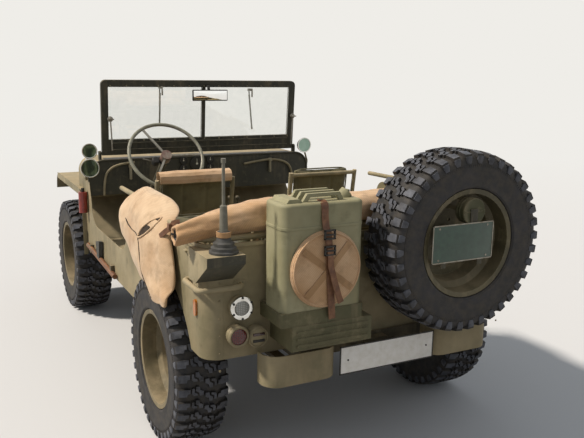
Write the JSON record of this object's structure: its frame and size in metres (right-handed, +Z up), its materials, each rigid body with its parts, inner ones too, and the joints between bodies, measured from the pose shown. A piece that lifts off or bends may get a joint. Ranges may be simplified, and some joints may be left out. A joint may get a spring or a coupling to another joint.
{
  "type": "open four-wheel-drive army car",
  "caption": "Small open four-wheel-drive military car: ladder frame, pressed tub, slotted grille, fold-down windshield, hood, steering, tipping seat, free wheels and rear stowage.",
  "frame": {"origin": "on the ground under the middle of the car's overall length, midway between the left and right wheels", "axes": "+X forward towards the grille, +Y to the car's left, +Z up"},
  "size_m": [3.429, 1.612, 1.5598],
  "materials": {
    "olive_paint": "matte olive paint, dusty",
    "olive_dark": "matte dark olive paint",
    "can_paint": "satin green paint",
    "wheel_paint": "matte olive paint",
    "engine_iron": "rough casting",
    "exhaust_steel": "rusty steel",
    "core_metal": "black-painted core",
    "tyre_rubber": "worn",
    "seat_cloth": "woven cotton duck",
    "tan_canvas": "woven canvas",
    "bow_paint": "matte olive paint",
    "clear_glass": "clear",
    "lamp_bodies": "matte olive paint with glass lenses",
    "wheel_plastic": "moulded rim",
    "steel": "worn steel",
    "plate_paint": "satin paint",
    "mirror_glass": "polished",
    "aerial_black": "ribbed",
    "tool_wood": "oiled ash"
  },
  "bodies": {
    "car": {"frame": "olive_dark", "front_bumper": "olive_paint", "rear_bumperettes": "olive_paint", "rear_axle": "olive_dark", "front_axle": "olive_dark", "suspension": "olive_dark", "engine": "engine_iron", "propshafts": "olive_dark", "exhaust": "exhaust_steel", "fuel_tank": "olive_dark", "radiator": "core_metal", "skid_plate": "olive_dark", "tow_hook": "olive_dark", "floor_pan": "olive_paint", "wheel_boxes": "olive_paint", "tunnel": "olive_paint", "toe_board": "olive_paint", "cowl": "olive_paint", "side_panel_left": "olive_paint", "side_panel_right": "olive_paint", "rear_panel": "olive_paint", "fenders": "olive_paint", "grille": "olive_paint", "lamps": "lamp_bodies", "steering_column": "olive_dark", "controls": "steel", "seat_frames": "bow_paint", "seat_pads": "seat_cloth", "jerry_can": "can_paint", "can_rack": "olive_paint", "spare_carrier": "olive_paint", "spare_wheel": "wheel_paint", "spare_tyre": "tyre_rubber", "number_plates": "plate_paint", "antenna": "aerial_black", "grab_handles": "olive_paint", "mirrors": "mirror_glass", "side_tools": "tool_wood", "top_bows": "bow_paint", "canvas": "tan_canvas"},
    "hood": {"hood": "olive_paint"},
    "windshield": {"windshield_frame": "olive_paint", "windshield_glass": "clear_glass"},
    "steering_wheel": {"steering_wheel": "wheel_plastic"},
    "passenger_seat": {"passenger_seat_frame": "bow_paint", "passenger_seat_pads": "seat_cloth"},
    "knuckle_left": {"knuckle_left": "olive_dark"},
    "knuckle_right": {"knuckle_right": "olive_dark"},
    "tie_rod": {"tie_rod": "olive_dark"},
    "wheel_front_left": {"wheel_front_left": "wheel_paint", "tyre_front_left": "tyre_rubber"},
    "wheel_front_right": {"wheel_front_right": "wheel_paint", "tyre_front_right": "tyre_rubber"},
    "wheel_rear_left": {"wheel_rear_left": "wheel_paint", "tyre_rear_left": "tyre_rubber"},
    "wheel_rear_right": {"wheel_rear_right": "wheel_paint", "tyre_rear_right": "tyre_rubber"}
  },
  "joints": [
    {"name": "steering_left", "type": "hinge", "parent": "car", "child": "knuckle_left", "pos_m": [1.1345, 0.505, 0.37], "axis": [0, 0, 1], "range_deg": [-24, 24]},
    {"name": "steering_right", "type": "hinge", "parent": "car", "child": "knuckle_right", "pos_m": [1.1345, -0.505, 0.37], "axis": [0, 0, 1], "range_deg": [-24, 24]},
    {"name": "tie_rod_pivot", "type": "hinge", "parent": "knuckle_left", "child": "tie_rod", "pos_m": [1.0045, 0.505, 0.278], "axis": [0, 0, 1], "range_deg": [-24, 24]},
    {"name": "steering_wheel_turn", "type": "hinge", "parent": "car", "child": "steering_wheel", "pos_m": [0.1325, 0.4, 1.145], "axis": [-0.7771, 0, 0.6293], "range_deg": [-336, 336]},
    {"name": "hood_open", "type": "hinge", "parent": "car", "child": "hood", "pos_m": [0.8955, 0, 1.084], "axis": [0, -1, 0], "range_deg": [0, 105]},
    {"name": "windshield_fold", "type": "hinge", "parent": "car", "child": "windshield", "pos_m": [0.6325, 0, 1.112], "axis": [0, -1, 0], "range_deg": [-90, 0]},
    {"name": "passenger_seat_tip", "type": "hinge", "parent": "car", "child": "passenger_seat", "pos_m": [0.2525, -0.44, 0.586], "axis": [0, 1, 0], "range_deg": [0, 60]},
    {"name": "spin_front_left", "type": "hinge", "parent": "knuckle_left", "child": "wheel_front_left", "pos_m": [1.1345, 0.694, 0.37], "axis": [0, 1, 0], "continuous": true},
    {"name": "spin_front_right", "type": "hinge", "parent": "knuckle_right", "child": "wheel_front_right", "pos_m": [1.1345, -0.694, 0.37], "axis": [0, 1, 0], "continuous": true},
    {"name": "spin_rear_left", "type": "hinge", "parent": "car", "child": "wheel_rear_left", "pos_m": [-0.8975, 0.694, 0.37], "axis": [0, 1, 0], "continuous": true},
    {"name": "spin_rear_right", "type": "hinge", "parent": "car", "child": "wheel_rear_right", "pos_m": [-0.8975, -0.694, 0.37], "axis": [0, 1, 0], "continuous": true}
  ],
  "couplings": [
    {"joint": "steering_right", "follows": "steering_left", "ratio": 1},
    {"joint": "tie_rod_pivot", "follows": "steering_left", "ratio": -1},
    {"joint": "steering_wheel_turn", "follows": "steering_left", "ratio": 14}
  ]
}
